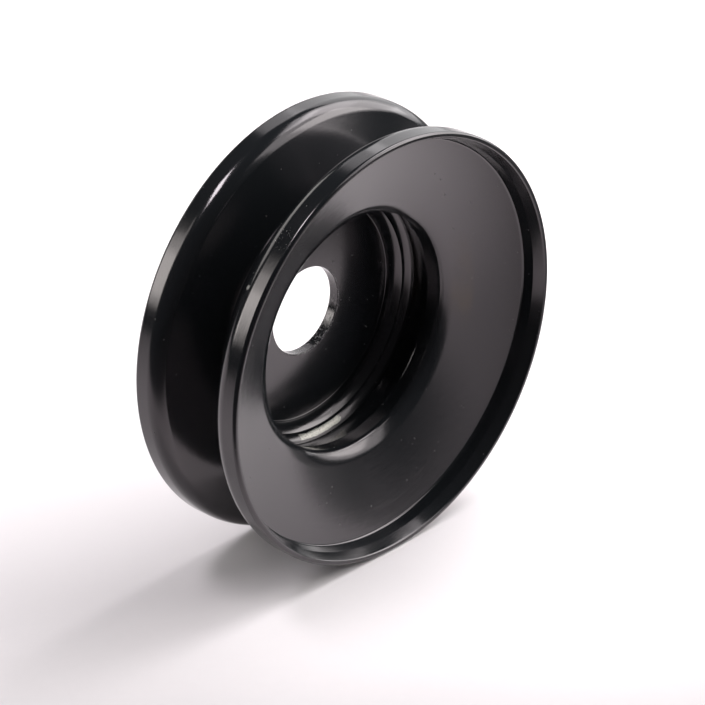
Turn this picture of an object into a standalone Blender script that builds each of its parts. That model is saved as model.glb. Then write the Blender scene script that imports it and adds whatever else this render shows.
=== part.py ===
"""Single-groove V-belt pulley built up from three steel pressings.

The pulley turns about the Y axis. Its open cup faces -Y and its hub face, which is clamped
against the shaft, faces +Y. The origin is the middle of the pulley. Every pressing is a turned
shape: a closed outline of (radius, depth) points, with depth counted from the front edges of
the rims towards the hub, is revolved once about Y.
"""
from math import atan2, cos, hypot, pi, radians, sin, tan

import bmesh
import bpy
from mathutils import Vector

# Overall size (metres)
OUTER_RADIUS = 0.0365
WIDTH = 0.022
BORE_RADIUS = 0.0075
GROOVE_SIDE_ANGLE = radians(19.0)
FIT_GAP = 0.0003

# Flange pressings
SHEET = 0.0015
RIM_EDGE_RADIUS = 0.00055
RIM_BEND_RADIUS = 0.0028
RIM_BEND_DEPTH = 0.00262
LIP_NOSE_RADIUS = 0.0355
LIP_NOSE_ROUND = 0.0004
LIP_WAIST_RADIUS = 0.0348
LIP_WAIST_DEPTH = 0.0019
LIP_FOOT_RADIUS = 0.0344
LIP_FOOT_DEPTH = 0.00377

# Front flange's rounded mouth, from the dished face into the tube
MOUTH_LIP_RADIUS = 0.02148
MOUTH_LIP_ROUND = 0.0078
MOUTH_THROAT_DEPTH = 0.00921
MOUTH_THROAT_ROUND = 0.0008
MOUTH_BACK_ROUND = 0.0010

# Front flange's drawn tube, which widens from its throat to the seat of the hub cup
TUBE_RADIUS = 0.02015
FLARE_DEPTH = 0.0112
FLARE_ROUND = 0.004
SEAT_RADIUS = 0.0218
SEAT_DEPTH = 0.0158
SEAT_ROUND = 0.005
TUBE_END_DEPTH = 0.0213

# Rear flange's collar, which closes the bottom of the groove
COLLAR_RADIUS = SEAT_RADIUS + SHEET + FIT_GAP
COLLAR_END_DEPTH = 0.0095
COLLAR_MOUTH_ROUND = 0.0025

# Hub cup
HUB_OUTER_RADIUS = SEAT_RADIUS - FIT_GAP
HUB_EDGE_DEPTH = 0.01645
WEB_DEPTH = 0.0200
WEB_RADIUS = 0.0190
WEB_FILLET = 0.0002
INNER_BEAD_START = (0.01900, 0.0197)
INNER_BEAD_END = (0.02034, 0.01752)
INNER_BEAD_HALF_TURN = radians(32.0)
OUTER_BEAD_START = (0.02047, 0.01745)
OUTER_BEAD_HALF_TURN = radians(20.0)
HUB_CORNER_RADIUS = 0.0022
BORE_EDGE_ROUND = 0.00025

# Facets
AROUND = 72
SHARP_ANGLE = radians(35.0)

PAINT_BLACK = (0.012, 0.012, 0.013, 1.0)


def clear_scene():
    for scene_object in list(bpy.data.objects):
        bpy.data.objects.remove(scene_object, do_unlink=True)


def arc(centre, radius, start, end, steps):
    """Points on a circle about centre, by angle from the +radius direction towards +depth."""
    points = []
    for step in range(steps + 1):
        angle = start + (end - start) * step / steps
        points.append((centre[0] + radius * cos(angle), centre[1] + radius * sin(angle)))
    return points


def dish_depth(radius):
    """Depth of the dished outer face of a flange, below the front edge of its rim."""
    return LIP_FOOT_DEPTH + (LIP_FOOT_RADIUS - radius) * tan(GROOVE_SIDE_ANGLE)


def rim_outline():
    """The rolled rim, from the foot of its inner wall over the nose to the groove's side."""
    side = GROOVE_SIDE_ANGLE
    outline = [(LIP_FOOT_RADIUS, LIP_FOOT_DEPTH), (LIP_WAIST_RADIUS, LIP_WAIST_DEPTH)]
    nose_centre = (LIP_NOSE_RADIUS + LIP_NOSE_ROUND, LIP_NOSE_ROUND)
    outline += arc(nose_centre, LIP_NOSE_ROUND, -pi, -pi / 2, 2)
    edge_centre = (OUTER_RADIUS - RIM_EDGE_RADIUS, RIM_EDGE_RADIUS)
    outline += arc(edge_centre, RIM_EDGE_RADIUS, -pi / 2, 0.0, 2)
    bend_centre = (OUTER_RADIUS - RIM_BEND_RADIUS, RIM_BEND_DEPTH)
    outline += arc(bend_centre, RIM_BEND_RADIUS, 0.0, pi / 2 - side, 6)
    return outline


def sheet_back_depth(radius):
    """Depth of the other face of the dished sheet, which is the groove's side."""
    return dish_depth(radius) + SHEET / cos(GROOVE_SIDE_ANGLE)


def rounded_corner(before, corner, after, radius, steps):
    """Arc that rounds a corner of the outline between the points before and after it."""
    here = Vector(corner)
    incoming = (Vector(before) - here).normalized()
    outgoing = (Vector(after) - here).normalized()
    half = incoming.angle(outgoing) / 2
    reach = radius / tan(half)
    centre = here + (incoming + outgoing).normalized() * (radius / sin(half))
    first = here + incoming * reach - centre
    last = here + outgoing * reach - centre
    start = atan2(first.y, first.x)
    turn = atan2(first.x * last.y - first.y * last.x, first.dot(last))
    return arc(centre, radius, start, start + turn, steps)


def bead(start, end, half_turn, steps):
    """Arc from start to end that bulges towards the cup's mouth."""
    rise = start[1] - end[1]
    run = end[0] - start[0]
    slope = atan2(rise, run)
    radius = hypot(run, rise) / (2 * sin(half_turn))
    centre_radius = start[0] + radius * sin(slope + half_turn)
    centre_depth = start[1] + radius * cos(slope + half_turn)
    points = []
    for step in range(steps + 1):
        tilt = slope + half_turn - 2 * half_turn * step / steps
        points.append((centre_radius - radius * sin(tilt), centre_depth - radius * cos(tilt)))
    return points


def front_flange_outline():
    throat = TUBE_RADIUS
    outside = TUBE_RADIUS + SHEET
    rim_foot = (LIP_FOOT_RADIUS, LIP_FOOT_DEPTH)
    lip = (MOUTH_LIP_RADIUS, dish_depth(MOUTH_LIP_RADIUS))
    throat_corner = (throat, MOUTH_THROAT_DEPTH)
    flare = (throat, FLARE_DEPTH)
    seat = (SEAT_RADIUS, SEAT_DEPTH)
    tube_end = (SEAT_RADIUS, TUBE_END_DEPTH)
    back_corner = (outside, sheet_back_depth(outside))
    back_flare = (outside, FLARE_DEPTH)
    back_seat = (SEAT_RADIUS + SHEET, SEAT_DEPTH)
    back_end = (SEAT_RADIUS + SHEET, TUBE_END_DEPTH)
    groove_top = (OUTER_RADIUS, sheet_back_depth(OUTER_RADIUS))
    outline = rim_outline()
    outline += rounded_corner(groove_top, back_corner, back_flare, MOUTH_BACK_ROUND, 4)
    outline += rounded_corner(back_corner, back_flare, back_seat, FLARE_ROUND, 2)
    outline += rounded_corner(back_flare, back_seat, back_end, SEAT_ROUND, 2)
    outline += [back_end, tube_end]
    outline += rounded_corner(tube_end, seat, flare, SEAT_ROUND, 2)
    outline += rounded_corner(seat, flare, throat_corner, FLARE_ROUND, 2)
    outline += rounded_corner(flare, throat_corner, lip, MOUTH_THROAT_ROUND, 4)
    outline += rounded_corner(throat_corner, lip, rim_foot, MOUTH_LIP_ROUND, 4)
    return outline


def rear_flange_outline():
    """Outline with its rim at depth 0; the finished flange is turned round to face +Y."""
    outside = COLLAR_RADIUS + SHEET
    collar_end = WIDTH - COLLAR_END_DEPTH
    rim_foot = (LIP_FOOT_RADIUS, LIP_FOOT_DEPTH)
    groove_top = (OUTER_RADIUS, sheet_back_depth(OUTER_RADIUS))
    back_corner = (outside, sheet_back_depth(outside))
    mouth = (COLLAR_RADIUS, dish_depth(COLLAR_RADIUS))
    outer_end = (outside, collar_end)
    inner_end = (COLLAR_RADIUS, collar_end)
    outline = rim_outline()
    outline += rounded_corner(groove_top, back_corner, outer_end, MOUTH_BACK_ROUND, 4)
    outline += [outer_end, inner_end]
    outline += rounded_corner(inner_end, mouth, rim_foot, COLLAR_MOUTH_ROUND, 5)
    return outline


def hub_cup_outline():
    """Web with the bore, two beads in the foot of the cup, and the rounded back."""
    edge = BORE_EDGE_ROUND
    bore_corner = (BORE_RADIUS, WEB_DEPTH)
    web_corner = (WEB_RADIUS, WEB_DEPTH)
    hub_edge = (HUB_OUTER_RADIUS, HUB_EDGE_DEPTH)
    outline = arc((BORE_RADIUS + edge, WEB_DEPTH + edge), edge, -pi, -pi / 2, 2)
    outline += rounded_corner(bore_corner, web_corner, INNER_BEAD_START, WEB_FILLET, 2)
    outline += bead(INNER_BEAD_START, INNER_BEAD_END, INNER_BEAD_HALF_TURN, 4)
    outline += bead(OUTER_BEAD_START, hub_edge, OUTER_BEAD_HALF_TURN, 4)
    corner_centre = (HUB_OUTER_RADIUS - HUB_CORNER_RADIUS, WIDTH - HUB_CORNER_RADIUS)
    outline += arc(corner_centre, HUB_CORNER_RADIUS, 0.0, pi / 2, 5)
    outline += arc((BORE_RADIUS + edge, WIDTH - edge), edge, pi / 2, pi, 2)
    return outline


def paint(name, roughness):
    material = bpy.data.materials.new(name)
    material.use_nodes = True
    shader = material.node_tree.nodes["Principled BSDF"]
    shader.inputs["Base Color"].default_value = PAINT_BLACK
    shader.inputs["Roughness"].default_value = roughness
    shader.inputs["Metallic"].default_value = 0.0
    return material


def pressing(name, outline, roughness, turned_round=False):
    """Revolve a closed outline about Y and place it with the pulley's middle at the origin."""
    shell = bmesh.new()
    half = WIDTH / 2
    corners = []
    for radius, depth in outline:
        y = half - depth if turned_round else depth - half
        corners.append(shell.verts.new((radius, y, 0.0)))
    edges = [shell.edges.new((a, b)) for a, b in zip(corners, corners[1:] + corners[:1])]
    bmesh.ops.spin(
        shell,
        geom=corners + edges,
        cent=Vector((0.0, 0.0, 0.0)),
        axis=Vector((0.0, 1.0, 0.0)),
        angle=2 * pi,
        steps=AROUND,
        use_merge=True,
    )
    bmesh.ops.recalc_face_normals(shell, faces=shell.faces)
    mesh = bpy.data.meshes.new(name)
    shell.to_mesh(mesh)
    shell.free()
    mesh.shade_smooth()
    mesh.set_sharp_from_angle(angle=SHARP_ANGLE)
    mesh.materials.append(paint(name + "_paint", roughness))
    piece = bpy.data.objects.new(name, mesh)
    bpy.context.scene.collection.objects.link(piece)
    return piece


def build():
    clear_scene()
    pressing("front_flange", front_flange_outline(), 0.28)
    pressing("rear_flange", rear_flange_outline(), 0.28, turned_round=True)
    pressing("hub_cup", hub_cup_outline(), 0.32)


build()
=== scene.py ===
"""A black V-belt pulley of pressed steel, standing on its two rims on a pale table."""

from math import atan2, cos, pi, radians, sin, sqrt, tan

import bpy
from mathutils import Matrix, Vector


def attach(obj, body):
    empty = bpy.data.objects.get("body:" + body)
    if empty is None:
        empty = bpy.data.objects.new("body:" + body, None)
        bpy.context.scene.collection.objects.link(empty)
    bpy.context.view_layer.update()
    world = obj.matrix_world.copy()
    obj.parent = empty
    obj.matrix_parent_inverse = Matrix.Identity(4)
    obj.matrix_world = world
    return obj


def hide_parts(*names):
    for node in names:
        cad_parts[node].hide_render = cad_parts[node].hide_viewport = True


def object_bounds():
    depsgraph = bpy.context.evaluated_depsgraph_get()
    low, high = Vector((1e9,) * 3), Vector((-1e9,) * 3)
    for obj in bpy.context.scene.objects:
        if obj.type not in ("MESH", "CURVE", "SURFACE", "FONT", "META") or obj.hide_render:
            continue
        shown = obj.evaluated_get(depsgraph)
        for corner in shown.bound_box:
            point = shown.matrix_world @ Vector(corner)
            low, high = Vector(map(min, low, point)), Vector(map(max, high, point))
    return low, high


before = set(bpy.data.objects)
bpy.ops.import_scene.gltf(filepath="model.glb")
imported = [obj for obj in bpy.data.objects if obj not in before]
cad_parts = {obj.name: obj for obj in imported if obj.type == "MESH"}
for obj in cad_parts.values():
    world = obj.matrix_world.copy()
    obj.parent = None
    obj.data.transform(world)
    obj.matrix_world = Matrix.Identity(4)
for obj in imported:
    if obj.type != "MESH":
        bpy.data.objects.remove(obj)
cad_low, cad_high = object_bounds()

MM = 0.001
RIM = cad_high.x / MM                      # outer radius of the rims, mm
FRONT = cad_low.y / MM                     # plane of the front rim's edge, mm
BACK = cad_high.y / MM                     # plane of the rear rim's edge, mm
WIDTH = BACK - FRONT

SIDE = radians(19.0)                       # slope of each side of the groove
SHEET = 1.5                                # thickness of both flanges, mm
CUT = 0.15                                 # rounding of a cut sheet edge, mm
BORE = 7.5                                 # radius of the shaft's hole, mm
DISH_R = RIM - 2.12                        # where the groove side starts, inside the rim
DISH_H = 3.77

STEPS = 256                                # steps round a turned piece
CRISP = radians(50)                        # edges sharper than this aren't smoothed


# ---------------------------------------------------------------- outlines (radius, depth), mm

def arc(cr, ch, radius, start, end, steps):
    """Points of an arc about the centre (cr, ch)."""
    out = []
    for i in range(steps + 1):
        a = start + (end - start) * i / steps
        out.append((cr + radius * cos(a), ch + radius * sin(a)))
    return out


def rounded(corners, guard=0.06):
    """A closed outline from (radius, depth, fillet, steps) corners.

    A point just beyond each end of a fillet keeps the straight runs between fillets flat.
    """
    out = []
    n = len(corners)
    for i, (r, h, fillet, steps) in enumerate(corners):
        p = Vector((r, h))
        if not fillet:
            out.append((r, h))
            continue
        a = Vector(corners[i - 1][:2]) - p
        b = Vector(corners[(i + 1) % n][:2]) - p
        ua, ub = a.normalized(), b.normalized()
        half = ua.angle(ub) / 2
        reach = fillet / tan(half)
        centre = p + (ua + ub).normalized() * (fillet / sin(half))
        first, last = p + ua * reach - centre, p + ub * reach - centre
        start = atan2(first.y, first.x)
        turn = atan2(first.x * last.y - first.y * last.x, first.dot(last))
        out.append(tuple(p + ua * (reach + guard)))
        out += arc(centre.x, centre.y, fillet, start, start + turn, steps)
        out.append(tuple(p + ub * (reach + guard)))
    return out


def dish(r):
    """Depth of a flange's dished outer face at a radius."""
    return DISH_H + (DISH_R - r) * tan(SIDE)


def sheet_back(r):
    """Depth of the same sheet's other face, which is the side of the groove."""
    return dish(r) + SHEET / cos(SIDE)


LIP = [
    (DISH_R, DISH_H, 0.45, 6),
    (34.78, 1.92, 0.12, 3),                # small step inside the rim
    (35.6, 0.0, 0.35, 6),
    (RIM, 0.0, 0.55, 8),
    (RIM, sheet_back(RIM), 2.8, 18),       # bend into the groove
]


def front_flange():
    """Rim, groove side, drawn mouth and the tube, which widens to its seat on the hub cup."""
    mouth, seat = 20.15, 21.85             # inner radii of the tube
    seat_start, tube_end = 15.8, 21.3
    return rounded(LIP + [
        (mouth + SHEET, sheet_back(mouth + SHEET), 1.0, 10),
        (mouth + SHEET, 11.2, 4.0, 6),
        (seat + SHEET, seat_start, 5.0, 6),
        (seat + SHEET, tube_end, CUT, 3),
        (seat, tube_end, CUT, 3),
        (seat, seat_start, 5.0, 8),
        (20.50, 12.35, 0.10, 3),           # fine ridge round the tube
        (20.39, 12.10, 0.05, 3),
        (20.40, 11.85, 0.05, 3),
        (mouth, 9.65, 0.05, 3),            # throat
        (mouth + 0.22, 9.05, 1.2, 12),
        (21.48, 8.21, 7.3, 16),            # roll of the mouth into the dish
    ])


def rear_flange():
    """The same rim and groove side, with the short collar around the tube."""
    collar = 23.6
    end = WIDTH - 9.5
    return rounded(LIP + [
        (collar + SHEET, sheet_back(collar + SHEET), 1.0, 10),
        (collar + SHEET, end, CUT, 3),
        (collar, end, CUT, 3),
        (collar, dish(collar), 2.5, 16),
    ])


def bead(start, end, half_turn, steps=8):
    """Points of an arc from start to end that bulges towards the open side."""
    (r0, h0), (r1, h1) = start, end
    mean = atan2(h0 - h1, r1 - r0)
    half = radians(half_turn)
    radius = sqrt((r1 - r0) ** 2 + (h1 - h0) ** 2) / (2 * sin(half))
    cr = r0 + radius * sin(mean + half)
    ch = h0 + radius * cos(mean + half)
    out = []
    for i in range(steps + 1):
        a = mean + half - 2 * half * i / steps
        out.append((cr - radius * sin(a), ch - radius * cos(a), 0.0, 1))
    return out


def hub_cup():
    """Web, its two rolled beads at the foot of the tube and the rounded back."""
    web_face, outer = 20.0, 21.76
    web = [(BORE, web_face, 0.15, 4), (19.0, web_face, 0.2, 4)]
    beads = bead((18.95, 19.7), (20.24, 17.66), 24) + [(20.36, 17.85, 0.0, 1)]
    beads += bead((20.50, 17.45), (outer, 16.45), 20)
    back = [(outer, WIDTH, 2.2, 14), (BORE, WIDTH, 0.3, 5)]
    return rounded(web + beads + back)


# ---------------------------------------------------------------- meshes

def turned(name, outline, facing_back=False):
    """Revolves a closed outline about the turning axis."""
    verts, faces = [], []
    n = len(outline)
    for s in range(STEPS):
        a = 2 * pi * s / STEPS
        for r, h in outline:
            y = BACK - h if facing_back else FRONT + h
            verts.append((r * cos(a) * MM, y * MM, r * sin(a) * MM))
    for s in range(STEPS):
        t = (s + 1) % STEPS
        for k in range(n):
            m = (k + 1) % n
            face = (s * n + k, s * n + m, t * n + m, t * n + k)
            faces.append(face if facing_back else face[::-1])
    mesh = bpy.data.meshes.new(name)
    mesh.from_pydata(verts, [], faces)
    mesh.update()
    mesh.shade_smooth()
    mesh.set_sharp_from_angle(angle=CRISP)
    piece = bpy.data.objects.new(name, mesh)
    bpy.context.scene.collection.objects.link(piece)
    return piece


# ---------------------------------------------------------------- materials

COATING = (0.0096, 0.0110, 0.0126, 1.0)
COATING_IOR = 1.7
COATING_SHEEN = (1.0, 0.92, 0.96, 1.0)
DUST = (0.16, 0.15, 0.14, 1.0)
BARE_STEEL = (0.27, 0.26, 0.24, 1.0)
SHEARED_STEEL = (0.17, 0.165, 0.165, 1.0)
BROWN_SMEAR = (0.046, 0.031, 0.013, 1.0)
SPUN_MARK = (0.060, 0.056, 0.058, 1.0)
PALE_GRAIN = (0.42, 0.40, 0.38, 1.0)
CHIPPED = (0.34, 0.33, 0.31, 1.0)
TABLE_WHITE = (0.90, 0.85, 0.875, 1.0)
# black that the table's painted shade blends towards
TABLE_PAINTED_SHADE = (0.0, 0.0, 0.0, 1.0)


class Nodes:
    """Short calls for building a material's node tree, and the place it is seen at, in metres."""

    def __init__(self, name):
        self.material = bpy.data.materials.new(name)
        self.material.use_nodes = True
        self.tree = self.material.node_tree
        self.shader = self.tree.nodes["Principled BSDF"]
        self.place = self.add("ShaderNodeTexCoord", output=3)
        split = self.tree.nodes.new("ShaderNodeSeparateXYZ")
        self.set(split.inputs[0], self.place)
        self.x, self.y, self.z = split.outputs

    def set(self, socket, value):
        if hasattr(value, "is_output"):
            self.tree.links.new(value, socket)
        else:
            socket.default_value = value

    def add(self, kind, inputs=(), output=0, **settings):
        node = self.tree.nodes.new(kind)
        for key, value in settings.items():
            setattr(node, key, value)
        for key, value in dict(inputs).items():
            self.set(node.inputs[key], value)
        return node.outputs[output]

    def math(self, operation, a, b=0.0, clamp=False):
        return self.add("ShaderNodeMath", {0: a, 1: b}, operation=operation, use_clamp=clamp)

    def plus(self, a, b):
        return self.math("ADD", a, b)

    def times(self, a, b):
        return self.math("MULTIPLY", a, b)

    def ramp(self, value, low, high, to_low=0.0, to_high=1.0):
        span = {"From Min": low, "From Max": high, "To Min": to_low, "To Max": to_high}
        return self.add(
            "ShaderNodeMapRange", {"Value": value, **span}, interpolation_type="SMOOTHSTEP"
        )

    def inside(self, value, low, high, soft):
        """1 where the value is between low and high, with soft ends."""
        rise = self.ramp(value, low - soft, low)
        return self.times(rise, self.ramp(value, high, high + soft, 1.0, 0.0))

    def noise(self, vector, scale, detail=2.0, rough=0.5):
        return self.add(
            "ShaderNodeTexNoise",
            {"Vector": vector, "Scale": scale, "Detail": detail, "Roughness": rough},
        )

    def blend(self, amount, a, b):
        return self.add("ShaderNodeMix", {0: amount, 6: a, 7: b}, 2, data_type="RGBA")


class TurnedNodes(Nodes):
    """The same for a turned piece, with its radius, angle and a map that follows its rings."""

    def __init__(self, name):
        super().__init__(name)
        squares = self.plus(self.times(self.x, self.x), self.times(self.z, self.z))
        self.radius = self.math("SQRT", squares)
        self.angle = self.math("ARCTAN2", self.z, self.x)
        along = self.times(self.angle, 0.0012)
        self.rings = self.add("ShaderNodeCombineXYZ", {0: self.radius, 1: along, 2: self.y})

    def near_rim(self, degrees_round, depth, reach):
        """1 close to a point on the outside of the front rim, given by its angle and depth."""
        a = radians(degrees_round)
        spot = (RIM * MM * cos(a), (FRONT + depth) * MM, RIM * MM * sin(a))
        away = self.add(
            "ShaderNodeVectorMath", {0: self.place, 1: spot}, 1, operation="DISTANCE"
        )
        return self.ramp(away, reach * 0.5 * MM, reach * MM, 1.0, 0.0)


# A wear function returns (mask, colour, roughness, bareness) for each mark.

def hub_wear(n):
    """Bare steel where the bead was rubbed, and the sheared edge of the bore."""
    ragged = n.times(n.noise(n.place, 900.0, 3.0, 0.7), 0.10)
    rubbed = n.times(
        n.inside(n.plus(n.angle, ragged), radians(-99), radians(-75), 0.03),
        n.inside(n.plus(n.radius, n.times(ragged, 0.004)), 0.0208, 0.0215, 0.00008),
    )
    pits = n.ramp(n.noise(n.place, 5200.0, 3.0, 0.6), 0.38, 0.54, 0.35, 1.0)
    rubbed = n.times(rubbed, pits)
    rubbed = n.times(rubbed, n.math("LESS_THAN", n.y, (FRONT + 18.0) * MM))
    sheared = n.times(
        n.ramp(n.radius, 0.00762, 0.00790, 1.0, 0.0),
        n.ramp(n.noise(n.place, 1700.0, 4.0, 0.7), 0.52, 0.60),
    )
    return [(rubbed, BARE_STEEL, 0.40, 1.0), (sheared, SHEARED_STEEL, 0.42, 0.6)]


def front_wear(n):
    """A faint brown smear beside the mouth, spinning marks, and chips on the rim."""
    cloud = n.noise(n.place, 260.0, 4.0, 0.6)
    smear = n.times(
        n.inside(n.angle, radians(-9), radians(16), 0.20),
        n.inside(n.radius, 0.0222, 0.0250, 0.0012),
    )
    smear = n.times(smear, n.ramp(cloud, 0.30, 0.75, 0.0, 0.7))
    spun = n.times(
        n.inside(n.angle, radians(-108), radians(-58), 0.20),
        n.inside(n.radius, 0.0304, 0.0318, 0.0006),
    )
    spun = n.times(spun, n.ramp(n.noise(n.rings, 5200.0, 1.0), 0.50, 0.66, 0.0, 0.16))
    grains = n.ramp(n.noise(n.place, 4200.0, 1.0), 0.68, 0.74)
    specks = n.times(n.near_rim(130.0, 2.4, 2.6), grains)
    chip = n.times(n.near_rim(144.0, 4.0, 0.7), n.ramp(cloud, 0.40, 0.50))
    return [
        (smear, BROWN_SMEAR, 0.28, 0.0),
        (spun, SPUN_MARK, 0.30, 0.0),
        (specks, PALE_GRAIN, 0.55, 0.0),
        (chip, CHIPPED, 0.50, 0.0),
    ]


def coating(name, rough, wear=None):
    """Black stoved coating with faint orange peel, spinning marks and settled dust."""
    n = TurnedNodes(name)
    peel = n.noise(n.place, 900.0, 2.0)
    patches = n.noise(n.place, 70.0, 3.0, 0.6)
    marks = n.noise(n.rings, 2600.0, 2.0, 0.7)
    dust = n.ramp(n.noise(n.place, 1500.0, 1.0), 0.78, 0.81)
    roughness = n.plus(rough - 0.035, n.times(patches, 0.07))
    roughness = n.plus(roughness, n.times(dust, 0.3))
    colour = n.blend(n.times(dust, 0.22), COATING, DUST)
    metal = 0.0
    for mask, tint, dullness, bare in wear(n) if wear else ():
        colour = n.blend(mask, colour, tint)
        kept = n.times(roughness, n.math("SUBTRACT", 1.0, mask))
        roughness = n.plus(kept, n.times(mask, dullness))
        if bare:
            metal = n.math("ADD", metal, n.times(mask, bare), clamp=True)
    n.set(n.shader.inputs["Base Color"], colour)
    n.set(n.shader.inputs["Roughness"], roughness)
    n.set(n.shader.inputs["Metallic"], metal)
    n.set(n.shader.inputs["IOR"], COATING_IOR)
    n.set(n.shader.inputs["Specular Tint"], COATING_SHEEN)
    height = n.plus(peel, n.times(marks, 0.35))
    bump = n.add("ShaderNodeBump", {"Strength": 0.05, "Distance": 0.0001, "Height": height})
    n.set(n.shader.inputs["Normal"], bump)
    return n.material


def table_top():
    """Pale matt table with painted shade in its colour: darker away from a spot beside the
    pulley, darkest some way in front of it, and darker to its right.
    """
    n = Nodes("table_top")
    away = n.plus(n.times(n.x, 0.725), n.times(n.y, 0.689))
    aside = n.plus(n.times(n.x, 0.689), n.times(n.y, -0.725))
    grain = n.times(n.noise(n.place, 400.0, 3.0, 0.6), 0.004)
    before = n.math("MINIMUM", n.math("SUBTRACT", away, 0.02), 0.0)
    beside = n.math("MAXIMUM", n.math("SUBTRACT", aside, 0.02), 0.0)
    squares = n.plus(n.times(before, before), n.times(beside, beside))
    reach = n.plus(n.math("SQRT", squares), grain)
    # painted shade: darker with distance from the spot beside the pulley, and far in front of it
    painted_shade = n.times(
        n.ramp(reach, 0.020, 0.160, 1.0, 0.33),
        n.ramp(n.plus(away, grain), -0.092, -0.054, 0.15, 1.0),
    )
    # painted shade on the table to the right of the pulley
    far_side_painted_shade = n.times(
        n.ramp(n.plus(aside, grain), 0.067, 0.104),
        n.ramp(away, -0.045, -0.012),
    )
    painted_shade = n.times(painted_shade, n.math("SUBTRACT", 1.0, n.times(far_side_painted_shade, 0.8)))
    # the painted shade is mixed into the table's base colour
    n.set(n.shader.inputs["Base Color"], n.blend(painted_shade, TABLE_PAINTED_SHADE, TABLE_WHITE))
    n.set(n.shader.inputs["Roughness"], 0.7)
    n.set(n.shader.inputs["Specular IOR Level"], 0.2)
    return n.material


# ---------------------------------------------------------------- the pulley

front = turned("front_flange_pressing", front_flange())
rear = turned("rear_flange_pressing", rear_flange(), facing_back=True)
hub = turned("hub_cup_pressing", hub_cup())

for piece, node, slot, rough, wear in (
    (front, "front_flange", "flange_paint", 0.14, front_wear),
    (rear, "rear_flange", "flange_paint", 0.15, None),
    (hub, "hub_cup", "hub_paint", 0.17, hub_wear),
):
    piece.data.materials.append(coating(node + "_coating", rough, wear))
    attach(piece, "root")
    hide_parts(node)


# ---------------------------------------------------------------- table, light and camera

TABLE_HALF = 0.9
TABLE_GAP = 0.00002                        # keeps the rims just clear of the table

COOL = (1.0, 0.98, 0.98)
WARM = (1.0, 1.0, 0.94)


def floor_sheet():
    """The table under the two rims."""
    mesh = bpy.data.meshes.new("table")
    s, z = TABLE_HALF, cad_low.z - TABLE_GAP
    mesh.from_pydata([(-s, -s, z), (s, -s, z), (s, s, z), (-s, s, z)], [], [(0, 1, 2, 3)])
    mesh.materials.append(table_top())
    table = bpy.data.objects.new("table", mesh)
    bpy.context.scene.collection.objects.link(table)


def softbox(name, azimuth, elevation, distance, width, height, radiance, colour=(1, 1, 1),
            aim=(0.0, 0.0, 0.0), mirrored=True):
    """A rectangular lamp facing aim. Azimuth is counted from +X towards +Y."""
    light = bpy.data.lights.new(name, "AREA")
    light.shape = "RECTANGLE"
    light.size, light.size_y = width, height
    light.energy = radiance * pi * width * height
    light.color = colour
    lamp = bpy.data.objects.new(name, light)
    a, e = radians(azimuth), radians(elevation)
    way = Vector((cos(e) * cos(a), cos(e) * sin(a), sin(e)))
    lamp.location = Vector(aim) + way * distance
    lamp.visible_glossy = mirrored
    lamp.rotation_euler = way.to_track_quat("Z", "Y").to_euler()
    bpy.context.scene.collection.objects.link(lamp)


floor_sheet()
softbox("right_softbox", -31, 32.5, 0.50, 0.64, 0.53, 2.0, (1.0, 1.0, 0.98))
softbox("right_softbox_hot_spot", -40, 24, 0.48, 0.22, 0.24, 3.2, (1.0, 1.0, 0.96))
softbox("right_softbox_core", -8, 33, 0.48, 0.30, 0.44, 1.7, COOL)
softbox("right_softbox_centre", -12, 42, 0.46, 0.20, 0.20, 1.2, COOL)
softbox("upper_left_lamp", 142, 66, 0.60, 0.22, 0.12, 14.0, (1.0, 0.98, 1.0))
softbox("left_strip", 138, 25, 0.60, 0.12, 0.42, 1.3, WARM)
softbox("left_strip_lower", 138, 21, 0.59, 0.12, 0.30, 1.6, WARM)
softbox("left_strip_core", 138, 19, 0.58, 0.10, 0.18, 2.2, WARM)
softbox("back_left_panel", 90, 24, 0.60, 0.44, 0.20, 1.6, (1.0, 1.0, 0.95))
softbox("back_panel", 27, 15, 0.80, 0.56, 0.75, 1.4)
softbox("back_corner", 53, 40, 0.80, 0.22, 0.22, 1.2)
softbox("right_softbox_top", -20, 59, 0.50, 0.26, 0.14, 2.6)
softbox("right_low_panel", -5, 5, 0.50, 0.26, 0.10, 2.0)
softbox("room_fill", 200, 60, 1.00, 1.40, 1.40, 0.06, mirrored=False)
softbox("table_fill", 0, 90, 0.20, 0.12, 0.12, 6.5,
        aim=(0.13, -0.02, cad_low.z), mirrored=False)
softbox("front_left_fill", 0, 90, 0.10, 0.06, 0.06, 2.0,
        aim=(-0.106, 0.01, cad_low.z), mirrored=False)

world = bpy.data.worlds.new("room")
world.use_nodes = True
background = world.node_tree.nodes["Background"]
background.inputs["Color"].default_value = (0.030, 0.029, 0.031, 1.0)
background.inputs["Strength"].default_value = 1.0
bpy.context.scene.world = world

bpy.context.scene.view_settings.view_transform = "Standard"

camera_data = bpy.data.cameras.new("camera")
camera_data.lens = 250.2
camera_data.sensor_width = 36.0
camera_data.clip_start = 0.01
camera = bpy.data.objects.new("camera", camera_data)
camera.location = (-0.5009, -0.4774, 0.3703)
camera.rotation_euler = (radians(61.57), 0.0, radians(-46.46))
bpy.context.scene.collection.objects.link(camera)
bpy.context.scene.camera = camera
